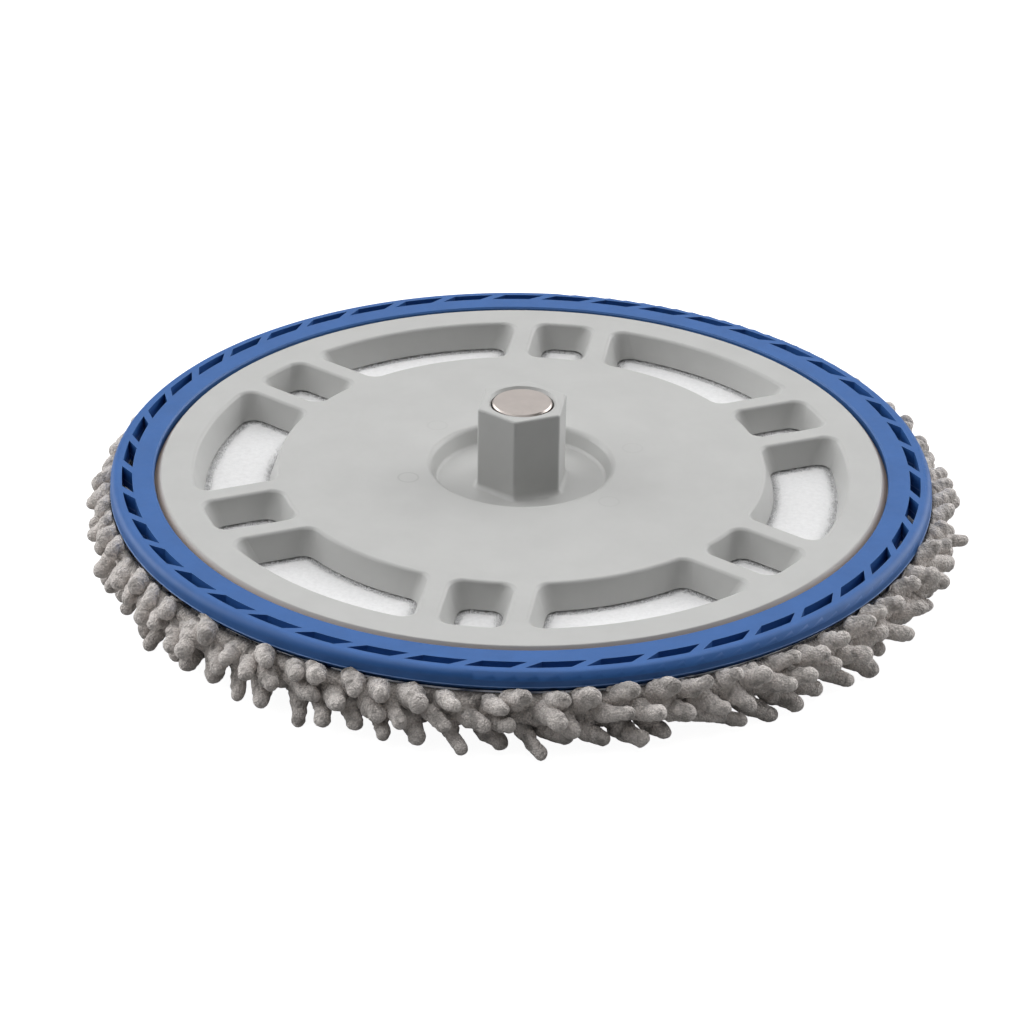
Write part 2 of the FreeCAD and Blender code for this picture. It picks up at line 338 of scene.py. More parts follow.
def finger_field(name, roots, start, end, lengths, radii, detail, tufts=None):
    """Knobbly round-ended fingers that leave the cloth along start and end up along end."""
    count = len(roots)
    sides, shaft_steps, cap_steps = detail
    shaft = np.linspace(0, 1, shaft_steps)
    cap = np.linspace(0, math.radians(80), cap_steps + 1)[1:]
    straight = (lengths - radii)[:, None]
    distance = np.concatenate([straight * shaft, straight + radii[:, None] * np.sin(cap)], 1)
    roundness = np.concatenate([np.ones(shaft_steps), np.cos(cap)])
    steps = distance.shape[1]
    share = distance / lengths[:, None]
    turn = smooth_step(share * 1.6)[..., None]
    heading = unit(start[:, None] * (1 - turn) + end[:, None] * turn)
    wander = random.normal(0, 0.16, (count, 1, 3)) * share[..., None]
    heading = unit(heading + wander)
    stride = np.diff(distance, axis=1)[..., None]
    middle = unit(heading[:, 1:] + heading[:, :-1])
    path = np.concatenate(
        [roots[:, None], roots[:, None] + np.cumsum(middle * stride, axis=1)], 1
    )
    angles = even_angles(sides)
    phase = random.uniform(0, FULL_TURN, (count, 1, 1, 6))
    rate = FULL_TURN / (random.uniform(1.5, 2.3, (count, 1, 1)) * MM)
    s = distance[..., None]
    band = rate * s + phase[..., 0] + 1.1 * np.sin(angles + phase[..., 1])
    band = band + 0.5 * np.sin(2 * angles + phase[..., 2])
    fade = np.clip(1.2 - share[..., None], 0, 1)
    puffs = 0.08 * (np.abs(np.sin(band / 2)) ** 0.7 - 0.7)
    lumps = 0.05 * np.sin(2 * angles + phase[..., 3] + 0.45 * rate * s)
    folds = 0.1 * np.sin(4 * angles + phase[..., 5]) * np.exp(-s / (1.5 * MM))
    grain = 0.3 * blurred(random.normal(0, 1, (count, steps, sides)), 2)
    grain = grain + random.normal(0, 0.015, (count, steps, sides))
    flare = 1.06 + FINGER_FLARE * np.exp(-((s / (2.9 * MM)) ** 1.5)) - 0.2 * share[..., None]
    swell = 1 + 0.08 * np.exp(-(((share[..., None] - 0.82) / 0.16) ** 2))
    radius = radii[:, None, None] * flare * swell * (1 + (puffs + lumps) * fade + folds + grain)
    radius = radius * roundness[None, :, None]
    walls = tube_walls(path, radius, sides)
    # Where each wall point lies in a crease between tufts, for the material's painted shade.
    crease_shade = np.zeros((count, steps, sides))
    if tufts is not None:
        dome = tuft_height(tufts, walls)
        depth = TUFT_DEPTH * (1 - 0.62 * share[..., None]) * np.clip(roundness[:, None], 0.3, 1)
        walls = walls + unit(walls - path[:, :, None]) * (depth * (dome - 0.75))[..., None]
        crease_shade = 1 - dome
    tips = path[:, -1:] + heading[:, -1:] * (radii[:, None, None] * (1 - math.sin(cap[-1])))
    points = np.concatenate([walls.reshape(count, -1, 3), path[:, :1], tips], 1)
    points = keep_clear(points)
    made = add_mesh(name, points, tube_faces(count, steps, sides))
    ring_share = np.repeat(share, sides, axis=1)
    ends = np.stack([np.zeros(count), np.ones(count)], 1)
    add_values(made, "along", np.concatenate([ring_share, ends], 1))
    bands = np.broadcast_to(band, (count, steps, sides)).reshape(count, -1)
    add_values(made, "band", np.concatenate([bands, bands[:, :1], bands[:, -1:]], 1))
    tone = random.uniform(0, 1, (count, 1)) * np.ones((1, points.shape[1]))
    add_values(made, "tone", tone)
    creases = np.concatenate([crease_shade.reshape(count, -1), np.zeros((count, 2))], 1)
    add_values(made, "crease_shade", creases)
    return made


def blurred(values, times):
    """The same numbers, averaged with their neighbours along a tube and round it."""
    for _ in range(times):
        values = (values + np.roll(values, 1, 2) + np.roll(values, -1, 2)) / 3
        values[:, 1:-1] = (values[:, 1:-1] + values[:, :-2] + values[:, 2:]) / 3
    return values


def keep_clear(points):
    """Rests the fingers on the floor and presses them off the bumper ring's outside."""
    points[..., 2] = np.maximum(points[..., 2], FLOOR_CLEARANCE)
    radius = np.hypot(points[..., 0], points[..., 1])
    beside = points[..., 2] > ring_low.z - RING_CLEARANCE
    limit = ring_radius + RING_CLEARANCE
    push = np.where(beside & (radius < limit), limit / radius, 1.0)
    points[..., :2] *= push[..., None]
    return points


def frame_vectors(angles):
    """Outward, round (anticlockwise from above) and up, at these angles."""
    outward = turned_points(1, 0, angles)
    around = np.stack([-np.sin(angles), np.cos(angles), 0 * angles], 1)
    return outward, around, np.array([0.0, 0.0, 1.0])


def edge_row(number, seat_deg, tilt_deg, lean_deg, length_share):
    """The roots and headings of one row of fingers round the pad's edge."""
    count = round(FULL_TURN * ring_radius / FINGER_PITCH)
    step = FULL_TURN / count
    angles = (np.arange(count) + 0.5 * (number % 2)) * step
    angles = angles + random.normal(0, 0.12, count) * step
    outward, around, up = frame_vectors(angles)
    seat = np.radians(seat_deg + random.normal(0, 7, count))[:, None]
    normal = unit(outward * np.cos(seat) + up * np.sin(seat))
    out = BED_WIDTH - 1.0 * MM
    drop = BED_DROP - 1.0 * MM
    centre = outward * shoulder_centre_radius + up * shoulder_centre_z
    roots = centre + outward * np.cos(seat) * out + up * np.sin(seat) * drop
    combed = np.cos(angles - COMBED_SIDE)
    tilt = np.radians(tilt_deg + random.normal(0, 9, count))
    tilt = tilt + COMBED_LIFT * np.clip(combed, 0, 1) ** 2
    tilt = (tilt - COMBED_DROOP * (1 - combed) / 2)[:, None]
    lean = np.radians(lean_deg + random.normal(0, 11, count))[:, None]
    level = outward * np.cos(lean) + around * np.sin(lean)
    end = level * np.cos(tilt) + up * np.sin(tilt)
    lengths = FINGER_LENGTH * length_share * random.uniform(0.82, 1.12, count)
    lengths = lengths * (1 + COMBED_EXTRA * combed)
    return roots, unit(normal + 0.3 * around), end, lengths


def edge_fingers(tufts):
    """The top row and the rows below it, as two objects."""
    rows = [edge_row(number, *row) for number, row in enumerate(EDGE_ROWS)]
    made = []
    for name, chosen in (("chenille_upper_fingers", rows[:1]), ("chenille_lower_fingers", rows[1:])):
        roots, start, end, lengths = (np.concatenate([r[k] for r in chosen]) for k in range(4))
        radii = FINGER_RADIUS * random.uniform(0.84, 1.14, len(roots))
        made.append(finger_field(name, roots, start, end, lengths, radii, EDGE_DETAIL, tufts))
    return made


def underside_fingers():
    """Fingers under the pad, on a staggered grid, all leaning the way the disc spins."""
    half = UNDERSIDE_ROW_LIMIT
    row_step = UNDERSIDE_PITCH * math.sqrt(3) / 2
    rows = np.arange(-half, half + row_step, row_step)
    columns = np.arange(-half, half + UNDERSIDE_PITCH, UNDERSIDE_PITCH)
    x, y = np.meshgrid(columns, rows)
    x = x + (np.arange(len(rows)) % 2)[:, None] * UNDERSIDE_PITCH / 2
    spots = np.stack([x.ravel(), y.ravel()], 1)
    spots = spots + random.normal(0, 0.35 * MM, spots.shape)
    spots = spots[np.hypot(spots[:, 0], spots[:, 1]) < UNDERSIDE_ROW_LIMIT]
    count = len(spots)
    outward, around, up = frame_vectors(np.arctan2(spots[:, 1], spots[:, 0]))
    roots = np.column_stack([spots, np.full(count, cloth_low.z + 0.2 * MM)])
    lean = np.radians(UNDERSIDE_LEAN + random.normal(0, 9, count))[:, None]
    swing = np.radians(random.normal(8, 24, count))[:, None]
    level = around * np.cos(swing) + outward * np.sin(swing)
    end = level * np.sin(lean) - up * np.cos(lean)
    start = np.tile([0.0, 0.0, -1.0], (count, 1))
    lengths = (cloth_low.z - 0.1 * MM) / np.cos(lean[:, 0] * 0.86)
    lengths = lengths * random.uniform(0.9, 1.0, count)
    radii = FINGER_RADIUS * random.uniform(0.9, 1.12, count)
    name = "chenille_underside_fingers"
    return finger_field(name, roots, start, end, lengths, radii, UNDERSIDE_DETAIL)


def bed_outline():
    """The bed's section, outer side then inner: under the pad, round its edge and up to just
    below the ring."""
    arc = np.radians(np.linspace(-90, 0, 15))
    outer_r = shoulder_centre_radius + BED_WIDTH * np.cos(arc)
    outer_z = shoulder_centre_z + BED_DROP * np.sin(arc)
    flat_r = np.linspace(shoulder_centre_radius - 9 * MM, shoulder_centre_radius, 14)[:-1]
    rise = smooth_step(np.linspace(1, 0, 13)) * (BED_DROP - SHOULDER_RADIUS - 0.25 * MM)
    flat_z = shoulder_centre_z - BED_DROP + rise
    top_z = np.linspace(shoulder_centre_z, BED_TOP, 7)[1:]
    side_r = shoulder_centre_radius + BED_WIDTH
    top_r = side_r - 0.45 * MM * np.linspace(0, 1, 6) ** 2
    outer = np.column_stack(
        [np.concatenate([flat_r, outer_r, top_r]), np.concatenate([flat_z, outer_z, top_z])]
    )
    inner_arc = np.radians(np.linspace(0, -90, 8))
    inner_width = BED_INSIDE - shoulder_centre_radius
    inner_r = shoulder_centre_radius + inner_width * np.cos(inner_arc)
    inner_z = shoulder_centre_z + (SHOULDER_RADIUS + 0.1 * MM) * np.sin(inner_arc)
    rim = [[BED_INSIDE, BED_TOP - 0.1 * MM], [BED_INSIDE, binding_low.z + 1.2 * MM]]
    last = [[flat_r[0], shoulder_centre_z - SHOULDER_RADIUS - 0.1 * MM]]
    return outer, np.concatenate([rim, np.column_stack([inner_r, inner_z]), last])


def chenille_bed(tufts):
    """The knitted ground of the chenille, raised in puffs round the finger roots."""
    outer, inner = bed_outline()
    angles = even_angles(BED_COLUMNS)
    outline = np.concatenate([outer, inner])
    radius, z = outline[:, :1], outline[:, 1:]
    points = turned_points(radius, z, angles)
    centre_r = np.minimum(radius, shoulder_centre_radius)
    centre_z = np.maximum(z, shoulder_centre_z)
    normal = unit(points - turned_points(centre_r, centre_z, angles))
    rows = len(outer)
    row = np.arange(rows)
    fade = np.clip(np.minimum(row / 4, (rows - 1 - row) / 1.5), 0.1, 1)[:, None]
    height = np.zeros(points.shape[:2])
    height[:rows] = puff_height(points[:rows], outer)
    dome = tuft_height(tufts, points[:rows])
    height[:rows] = (height[:rows] + 1.3 * TUFT_DEPTH * (dome - 0.75)) * fade
    # Where each point lies in a crease between tufts, for the material's painted shade.
    crease_shade = np.zeros(points.shape[:2])
    crease_shade[:rows] = 1 - dome
    puff = height / PUFF_HEIGHT
    # 1 along the bed's top rim under the ring, where the material paints shade.
    rim = np.clip((z - BED_TOP) / (0.5 * MM) + 1.6, 0, 1) + 0 * crease_shade
    puff = np.maximum(puff, rim)
    points = points + normal * height[..., None]
    faces = [grid_faces(len(outline), BED_COLUMNS, True)]
    made = add_mesh("chenille_bed", points, faces)
    add_values(made, "along", 0.25 + 0.55 * height / PUFF_HEIGHT)
    add_values(made, "puff", puff)
    add_values(made, "crease_shade", crease_shade)
    add_values(made, "rim", rim)
    add_values(made, "tone", 0.5 + 0.5 * np.sin(9 * angles + 30 * height / PUFF_HEIGHT))
    return made


def puff_height(points, outline):
    """How far each point stands up, from round puffs in staggered rows along the outline."""
    steps = np.linalg.norm(np.diff(outline, axis=0), axis=1)
    travelled = np.concatenate([[0], np.cumsum(steps)])
    rows = np.arange(0.5 * PUFF_PITCH, travelled[-1], 0.87 * PUFF_PITCH)
    centres = []
    for number, row in enumerate(rows):
        r = np.interp(row, travelled, outline[:, 0])
        z = np.interp(row, travelled, outline[:, 1])
        count = round(FULL_TURN * r / PUFF_PITCH)
        angles = (np.arange(count) + 0.5 * (number % 2)) * FULL_TURN / count
        angles = angles + random.normal(0, 0.16, count) * FULL_TURN / count
        r = r + random.normal(0, 0.2 * MM, count)
        centres.append(turned_points(r, z, angles))
    centres = np.concatenate(centres)
    sizes = PUFF_RADIUS * random.uniform(0.8, 1.12, len(centres))
    tree = nearest(centres)
    flat = points.reshape(-1, 3)
    height = np.zeros(len(flat))
    for i, point in enumerate(flat):
        for _, number, distance in tree.find_n(point, 3):
            share = distance / sizes[number]
            if share < 1:
                height[i] = max(height[i], PUFF_HEIGHT * math.sqrt(1 - share * share))
    height = height + random.normal(0, 0.03 * MM, len(flat))
    return height.reshape(points.shape[:2])


# The pad's layers


def window_reach(points):
    """How far inside the plate's windows each (x, y) point lies, or 0 under the plate."""
    plate = solid_tree("carrier_plate")
    up = Vector((0, 0, 1))
    covered = np.array(
        [plate.ray_cast(Vector((x, y, pad_top)), up)[0] is not None for x, y in points]
    )
    inside = np.hypot(points[:, 0], points[:, 1]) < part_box("carrier_plate")[1].x
    open_spots = ~covered & inside
    shut = nearest([(x, y, 0) for x, y in points[~open_spots]])
    reach = np.zeros(len(points))
    for i in np.flatnonzero(open_spots):
        reach[i] = shut.find((points[i, 0], points[i, 1], 0))[2]
    return reach


def smooth_step(values):
    """From 0 to 1 with a level start and end."""
    t = np.clip(values, 0, 1)
    return t * t * (3 - 2 * t)


def facing_sheet():
    """The white pile facing, which swells a little into each window."""
    columns = FACING_COLUMNS
    hub_rings = np.linspace(3 * MM, 47 * MM, 12)
    window_rings = np.arange(48 * MM, 66.5 * MM, 0.5 * MM)
    edge_rings = np.linspace(68 * MM, facing_radius - 0.3 * MM, 6)
    top_rings = np.concatenate([hub_rings, window_rings, edge_rings, [facing_radius]])
    under_rings = np.linspace(facing_radius, 3 * MM, 6)
    angles = even_angles(columns)
    radii = np.concatenate([top_rings, under_rings])[:, None]
    flat = turned_points(radii, 0 * radii, angles)[..., :2]
    top = flat[: len(top_rings)].reshape(-1, 2)
    reach = window_reach(top)
    lumps = sum(
        np.sin(top[:, 0] * a + top[:, 1] * b + c)
        for a, b, c in random.uniform(-2.2, 2.2, (14, 3)) / [MM, MM, 1]
    )
    rise = PILE_RISE * smooth_step(reach / PILE_SLOPE) * (1 + 0.015 * lumps)
    z = np.full(flat.shape[:2], facing_low.z)
    z[: len(top_rings)] = pad_top - FACING_SINK + rise.reshape(len(top_rings), columns)
    z[len(top_rings) - 1] -= 0.35 * MM
    hub = len(radii) * columns
    j = np.arange(columns)
    next_j = (j + 1) % columns
    last = hub - columns
    top_fan = np.stack([np.full(columns, hub), j, next_j], 1)
    under_fan = np.stack([np.full(columns, hub + 1), last + next_j, last + j], 1)
    points = np.concatenate(
        [np.dstack([flat, z]).reshape(-1, 3), [[0, 0, pad_top - FACING_SINK], [0, 0, facing_low.z]]]
    )
    faces = [grid_faces(len(radii), columns)[:, ::-1], np.concatenate([top_fan, under_fan])]
    made = add_mesh("pad_facing", points, faces)
    shade = np.zeros(len(points))
    shade[: len(reach)] = by_the_wall(reach)
    add_values(made, "shade", shade)
    return made


def by_the_wall(reach):
    """1 next to a window's wall, where the pile lies in its shadow, falling to 0 further in."""
    return np.where(reach > 0, np.clip(1 - reach / SHADE_REACH, 0, 1), 0)


def facing_fuzz():
    """Loose fibres that stand up from the facing inside the windows."""
    spots = random.uniform(-66 * MM, 66 * MM, (FUZZ_TRIES, 2))
    radius = np.hypot(spots[:, 0], spots[:, 1])
    spots = spots[(radius > 49 * MM) & (radius < 66 * MM)]
    reach = window_reach(spots)
    likely = 1.1 - reach / FUZZ_REACH
    keep = (reach > 0.02 * MM) & (random.uniform(0, 1, len(spots)) < likely)
    spots, reach = spots[keep], reach[keep]
    count = len(spots)
    rise = PILE_RISE * smooth_step(reach / PILE_SLOPE)
    root = np.column_stack([spots, pad_top - 0.15 * MM + rise])
    turn = random.uniform(0, FULL_TURN, count)
    level, sideways, up = frame_vectors(turn)
    height = random.uniform(0.25, 0.75, (count, 1)) * MM
    bend = random.uniform(0.1, 0.7, (count, 1)) * MM
    half = sideways * FUZZ_HALF_WIDTH
    middle = root + level * bend * 0.35 + up * height * 0.7
    tip = root + level * bend + up * height
    points = np.stack([root - half, root + half, middle + half, middle - half, tip], 1)
    start = np.arange(count)[:, None] * 5
    quads = start + [[0, 1, 2, 3]]
    triangles = start + [[3, 2, 4]]
    made = add_mesh("pad_facing_fuzz", points, [quads, triangles])
    by_point = np.tile([0.9, 0.9, 0.3, 0.3, 0.0], count)
    add_values(made, "shade", by_point * np.repeat(by_the_wall(reach), 5))
    return made


def shoulder_outline():
    """The base cloth's section: flat underneath, round the shoulder and up to the sewn edge."""
    thickness = CLOTH_THICKNESS
    arc = np.radians(np.linspace(SHOULDER_START_DEG, SHOULDER_END_DEG, 15))
    outer_r = shoulder_centre_radius + SHOULDER_RADIUS * np.cos(arc)
    outer_z = shoulder_centre_z + SHOULDER_RADIUS * np.sin(arc)
    inner = SHOULDER_RADIUS - thickness
    inner_r = shoulder_centre_radius + inner * np.cos(arc)
    inner_z = shoulder_centre_z + inner * np.sin(arc)
    flat = np.linspace(0.5 * MM, shoulder_centre_radius, 20)[:-1]
    low = np.full(len(flat), outer_z[0])
    outer = np.column_stack([np.concatenate([flat, outer_r]), np.concatenate([low, outer_z])])
    inside = np.column_stack(
        [np.concatenate([flat, inner_r]), np.concatenate([low + thickness, inner_z])]
    )
    return np.concatenate([outer, inside[::-1]])


def base_cloth():
    """The knitted cloth that carries the fingers, held at the sewn edge."""
    return turned_shape("pad_base_cloth_knit", shoulder_outline(), LAYER_COLUMNS)


def foam_core():
    """The foam sheet, a little crowned, with rounded edges."""
    radius, low, high = foam_high.x, foam_low.z, foam_high.z
    half = (high - low) / 2
    rows = np.linspace(0.4 * MM, radius - half, 18)
    crown = 0.05 * MM * (1 - (rows / radius) ** 2)
    arc = np.radians(np.linspace(-90, 90, 11))[1:-1]
    edge_r = radius - half + half * np.cos(arc)
    edge_z = (low + high) / 2 + half * np.sin(arc)
    outline = np.concatenate(
        [
            np.column_stack([rows, low + crown]),
            np.column_stack([edge_r, edge_z]),
            np.column_stack([rows, high - 0.05 * MM + crown])[::-1],
        ]
    )
    return turned_shape("pad_foam", outline, LAYER_COLUMNS)


def binding_roll():
    """The rolled cloth edge under the overlock stitches."""
    arc = even_angles(20)
    radius = binding_middle_radius + 0.78 * MM * np.cos(arc)
    outline = np.column_stack([radius, binding_middle_z + 0.72 * MM * np.sin(arc)])
    return turned_shape("pad_binding_roll", outline, BINDING_COLUMNS)


def overlock_thread():
    """The thread wound round the binding, one turn to each stitch."""
    middle_r, middle_z = binding_middle_radius, binding_middle_z
    t = np.linspace(0, 1, STITCHES * STEPS_PER_STITCH, endpoint=False)
    wind = FULL_TURN * STITCHES * t
    slant = 0.25 * np.sin(wind) / STITCHES * FULL_TURN
    angle = FULL_TURN * t + slant
    radius = middle_r + 0.84 * MM * np.cos(wind)
    z = middle_z + 0.76 * MM * np.sin(wind)
    path = turned_points(radius, z, angle)
    along = unit(np.roll(path, -1, 0) - np.roll(path, 1, 0))
    core = turned_points(middle_r, middle_z, angle)
    side = unit(np.cross(along, unit(path - core)))
    points = path[:, None] + rings_round(along, side, THREAD_SIDES) * THREAD_RADIUS
    faces = [grid_faces(len(path), THREAD_SIDES, True)]
    return add_mesh("pad_overlock_thread", points, faces)


# Hook tape


def hook_tape(node):
    """The tape: the CAD block's outline, thinned to leave room for its hooks."""
    low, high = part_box(node)
    mesh = frame["nodes"][node].data.copy()
    points = np.zeros(len(mesh.vertices) * 3)
    mesh.vertices.foreach_get("co", points)
    points = points.reshape(-1, 3)
    share = (high.z - points[:, 2]) / (high.z - low.z)
    points[:, 2] = high.z - share * (high.z - low.z - HOOK_HEIGHT)
    mesh.vertices.foreach_set("co", points.ravel())
    mesh.update()
    return add_object(node + "_tape", mesh)


def hook_spots(node):
    """Where hooks stand: a staggered grid inside the tape's outline."""
    low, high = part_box(node)
    tree = solid_tree(node)
    margin = 0.35 * MM
    nudges = ((margin, 0), (-margin, 0), (0, margin), (0, -margin))
    found = []
    row_step = HOOK_PITCH * math.sqrt(3) / 2
    rows = int((high.y - low.y) / row_step) + 1
    columns = int((high.x - low.x) / HOOK_PITCH) + 2
    for i in range(rows):
        for j in range(columns):
            x = low.x + (j + 0.5 * (i % 2)) * HOOK_PITCH
            y = low.y + (i + 0.5) * row_step
            below = [Vector((x + dx, y + dy, low.z - MM)) for dx, dy in nudges]
            if all(tree.ray_cast(p, Vector((0, 0, 1)))[0] is not None for p in below):
                found.append((x, y))
    return np.array(found)


def hooks(node):
    """Small bent hooks that hang from the tape."""
    spots = hook_spots(node)
    low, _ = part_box(node)
    count = len(spots)
    turn = random.choice([0.0, math.pi], count) + random.normal(0, 0.25, count)
    drop = np.array([0.0, 0.6, 0.92, 0.96, 0.72]) * (HOOK_HEIGHT - 0.1 * MM)
    reach = np.array([0.0, 0.0, 0.16, 0.42, 0.56]) * MM
    level = np.stack([np.cos(turn), np.sin(turn)], 1)
    paths = np.zeros((count, len(drop), 3))
    paths[:, :, :2] = spots[:, None] + level[:, None] * (reach[None, :, None] - 0.2 * MM)
    paths[:, :, 2] = low.z + HOOK_HEIGHT - drop
    radii = np.tile(np.array([0.16, 0.12, 0.11, 0.1, 0.06]) * MM, (count, 1))
    return tube_mesh(node + "_hooks", paths, radii, HOOK_SIDES)


# Materials


class Finish:
    """A Principled material whose inputs are fed by procedural nodes in object space."""

    def __init__(self, name, colour, roughness, metallic=0.0):
        self.material = bpy.data.materials.new(name)
        self.material.use_nodes = True
        self.tree = self.material.node_tree
        self.shader = self.tree.nodes["Principled BSDF"]
        self.set("Roughness", roughness)
        self.set("Metallic", metallic)
        self.set("Base Color", (*colour, 1))
        self.place = self.node("ShaderNodeTexCoord").outputs["Object"]
        self.last_normal = None

    def node(self, kind, numbers=None, **settings):
        """A new node with these numbers on its inputs and these settings."""
        made = self.tree.nodes.new(kind)
        for key, value in settings.items():
            setattr(made, key, value)
        for socket, value in (numbers or {}).items():
            made.inputs[socket].default_value = value
        return made

    def set(self, socket, value):
        self.shader.inputs[socket].default_value = value

    def link(self, source, target):
        self.tree.links.new(source, target)

    def noise(self, size, detail=3.0, roughness=0.6):
        """Noise between 0 and 1 with features of this size."""
        numbers = {"Scale": 1 / size, "Detail": detail, "Roughness": roughness}
        made = self.node("ShaderNodeTexNoise", numbers)
        self.link(self.place, made.inputs["Vector"])
        return made.outputs["Fac"]

    def cells(self, size):
        """Distance to the nearest of scattered centres this far apart."""
        made = self.node("ShaderNodeTexVoronoi", {"Scale": 1 / size})
        self.link(self.place, made.inputs["Vector"])
        return made.outputs["Distance"]

    def value(self, name):
        """A number stored on the mesh's points."""
        return self.node("ShaderNodeAttribute", attribute_name=name).outputs["Fac"]

    def ranged(self, source, low, high, from_low=0.0, from_high=1.0):
        numbers = {"From Min": from_low, "From Max": from_high, "To Min": low, "To Max": high}
        made = self.node("ShaderNodeMapRange", numbers)
        self.link(source, made.inputs["Value"])
        return made.outputs["Result"]

    def math(self, operation, first, second):
        made = self.node("ShaderNodeMath", operation=operation)
        for socket, value in zip(made.inputs, (first, second)):
            if isinstance(value, (int, float)):
                socket.default_value = value
            else:
                self.link(value, socket)
        return made.outputs["Value"]

    def mixed(self, share, first, second):
        """A colour between two, by share; each is three numbers or a socket."""
        made = self.node("ShaderNodeMix", data_type="RGBA")
        self.link(share, made.inputs["Factor"])
        for socket, value in zip((made.inputs["A"], made.inputs["B"]), (first, second)):
            if isinstance(value, tuple):
                socket.default_value = (*value, 1)
            else:
                self.link(value, socket)
        return made.outputs["Result"]

    def edges(self, radius):
        """From 0 on flat faces to about 1 on edges sharper than this radius."""
        rounded = self.node("ShaderNodeBevel", {"Radius": radius}, samples=4)
        plain = self.node("ShaderNodeNewGeometry").outputs["Normal"]
        agree = self.node("ShaderNodeVectorMath", operation="DOT_PRODUCT")
        self.link(rounded.outputs["Normal"], agree.inputs[0])
        self.link(plain, agree.inputs[1])
        return self.ranged(agree.outputs["Value"], 1, 0, 0.75, 0.995)

    def line(self, number, middle, width):
        """1 where this number is near the middle, fading to 0 over this width."""
        off = self.math("ABSOLUTE", self.math("SUBTRACT", number, middle), 0)
        return self.ranged(off, 1, 0, 0.3 * width, width)

    def rim(self, radius, width):
        """1 within this width of a circle round the disc's axis, and 0 elsewhere."""
        flat = self.node("ShaderNodeVectorMath", {1: (1, 1, 0)}, operation="MULTIPLY")
        self.link(self.place, flat.inputs[0])
        length = self.node("ShaderNodeVectorMath", operation="LENGTH")
        self.link(flat.outputs["Vector"], length.inputs[0])
        return self.line(length.outputs["Value"], radius, width)

    def circle(self, centre, radius, width):
        """1 on a thin line this far from a point, fading to 0 over this width."""
        away = self.node("ShaderNodeVectorMath", {1: centre}, operation="DISTANCE")
        self.link(self.place, away.inputs[0])
        return self.line(away.outputs["Value"], radius, width)

    def level(self, height, width):
        """1 within this width of a height above the floor, and 0 elsewhere."""
        split = self.node("ShaderNodeSeparateXYZ")
        self.link(self.place, split.inputs["Vector"])
        return self.line(split.outputs["Z"], height, width)

    def done(self, specular=None, sheen=None, sheen_roughness=None):
        """The finished material, once the constants that are given are set on its shader."""
        given = {
            "Specular IOR Level": specular,
            "Sheen Weight": sheen,
            "Sheen Roughness": sheen_roughness,
        }
        for socket, value in given.items():
            if value is not None:
                self.set(socket, value)
        return self.material

    def colour(self, socket):
        self.link(socket, self.shader.inputs["Base Color"])

    def roughness(self, socket):
        self.link(socket, self.shader.inputs["Roughness"])

    def bump(self, height, depth, strength=1.0):
        """Adds a bump of this depth in metres on top of the ones before."""
        made = self.node("ShaderNodeBump", {"Strength": strength, "Distance": depth})
        self.link(height, made.inputs["Height"])
        if self.last_normal is not None:
            self.link(self.last_normal, made.inputs["Normal"])
        self.last_normal = made.outputs["Normal"]
        self.link(self.last_normal, self.shader.inputs["Normal"])


def scaled(colour, factor):
    """A colour made lighter or darker by this factor."""
    return tuple(c * factor for c in colour)


def plate_finish():
    """Light grey moulded plastic: fine spark texture, slight mottling, edges painted paler as a
    highlight, a warm dark line of painted shade at the rim, and faint circles from the ejector pins."""
    grey = (0.497, 0.499, 0.49)
    finish = Finish("plate_plastic_finish", grey, 0.46)
    mottle = finish.ranged(finish.noise(9 * MM, 4), 0, 1, 0.35, 0.65)
    body = finish.mixed(mottle, scaled(grey, 0.972), scaled(grey, 1.02))
    # Painted highlight: the plate's edges are painted paler.
    edge = finish.math("MULTIPLY", finish.edges(0.3 * MM), 0.5)
    body = finish.mixed(edge, body, (0.62, 0.615, 0.6))
    # Painted shade: a warm dark line near the plate's rim, where the gap by the ring lies in shadow.
    painted_rim_shade = finish.rim(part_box("carrier_plate")[1].x - RIM_INSET, 1.25 * MM)
    body = finish.mixed(finish.math("MULTIPLY", painted_rim_shade, 0.85), body, (0.36, 0.26, 0.185))
    for angle_deg, share in EJECTOR_MARKS:
        turn = math.radians(angle_deg)
        mark = (EJECTOR_CIRCLE * math.cos(turn), EJECTOR_CIRCLE * math.sin(turn), plate_top)
        witness = finish.math("MULTIPLY", finish.circle(mark, EJECTOR_RADIUS, 0.3 * MM), share)
        body = finish.mixed(witness, body, scaled(grey, 0.6))
    finish.colour(body)
    finish.roughness(finish.ranged(finish.noise(2.2 * MM, 3), 0.40, 0.52))
    finish.bump(finish.noise(0.16 * MM, 2), 0.012 * MM, 0.6)
    return finish.done(specular=0.42)


def ring_finish():
    """Blue elastomer: satin, with a very fine grain and slight handling marks, edges painted lighter
    as a highlight, and a thin painted highlight along its parting line.
    """
    blue = (0.028, 0.118, 0.36)
    finish = Finish("ring_rubber_finish", blue, 0.5)
    cloud = finish.ranged(finish.noise(6 * MM, 4), 0, 1, 0.3, 0.7)
    body = finish.mixed(cloud, scaled(blue, 0.93), scaled(blue, 1.06))
    # Painted highlight: the ring's edges are painted a lighter blue.
    edge = finish.math("MULTIPLY", finish.edges(0.25 * MM), 0.5)
    body = finish.mixed(edge, body, (0.1, 0.22, 0.48))
    # Painted highlight: a lighter line along the ring's moulding seam.
    seam_highlight = finish.level(SEAM_HEIGHT, 0.22 * MM)
    finish.colour(finish.mixed(seam_highlight, body, (0.13, 0.24, 0.5)))
    finish.roughness(finish.ranged(finish.noise(1.6 * MM, 3), 0.44, 0.58))
    finish.bump(finish.noise(0.2 * MM, 2), 0.014 * MM, 0.7)
    return finish.done(specular=0.4)


